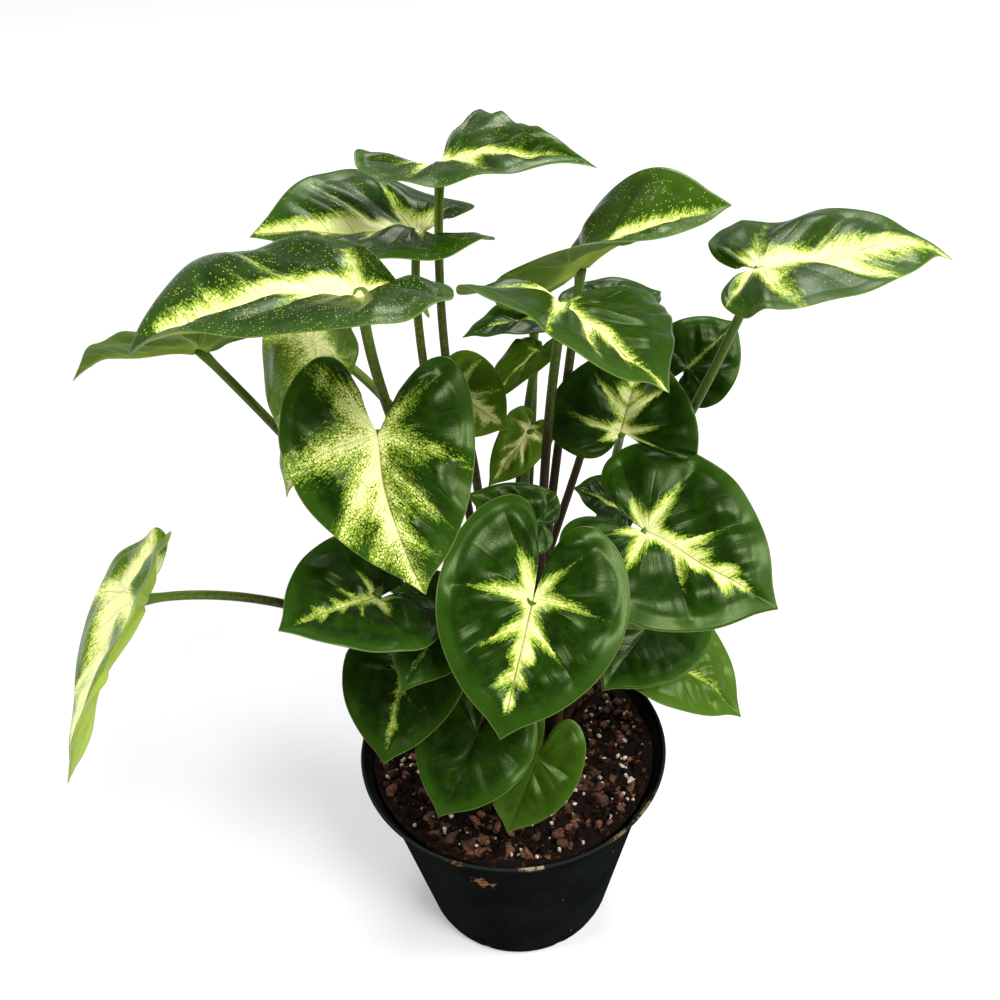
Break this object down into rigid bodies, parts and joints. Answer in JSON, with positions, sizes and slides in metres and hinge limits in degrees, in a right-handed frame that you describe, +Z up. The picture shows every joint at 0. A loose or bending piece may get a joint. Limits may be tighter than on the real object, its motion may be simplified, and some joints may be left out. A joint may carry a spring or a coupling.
{
  "type": "potted pixie syngonium",
  "caption": "Young bushy arrowhead vine with heart-shaped variegated leaves on thin arching petioles, growing in a round tapered nursery pot filled with soil.",
  "frame": {"origin": "centre of the flat underside of the pot, on the surface the pot stands on", "axes": "+Z straight up along the pot's axis; -Y is the front, towards the viewer of the picture; +X is the viewer's right"},
  "size_m": [0.2225, 0.1315, 0.2662],
  "materials": {
    "pot_plastic": "satin black moulded plastic",
    "soil": "rough dark brown peat and bark with white grit",
    "stem": "satin olive green",
    "leaf": "satin dark green with a cream and lime centre"
  },
  "bodies": {
    "root": {"pot": "pot_plastic", "soil": "soil", "stem_1": "stem", "stem_2": "stem", "stem_3": "stem", "stem_4": "stem", "stem_5": "stem", "leaf_01": "leaf", "leaf_02": "leaf", "leaf_03": "leaf", "leaf_04": "leaf", "leaf_05": "leaf", "leaf_06": "leaf", "leaf_07": "leaf", "leaf_08": "leaf", "leaf_09": "leaf", "leaf_10": "leaf", "leaf_11": "leaf", "leaf_12": "leaf", "leaf_13": "leaf", "leaf_14": "leaf", "leaf_15": "leaf", "leaf_16": "leaf", "leaf_17": "leaf", "leaf_18": "leaf", "leaf_19": "leaf", "leaf_20": "leaf", "leaf_21": "leaf", "leaf_22": "leaf", "leaf_23": "leaf", "leaf_24": "leaf", "leaf_25": "leaf", "leaf_26": "leaf", "leaf_27": "leaf", "leaf_28": "leaf"}
  },
  "joints": []
}
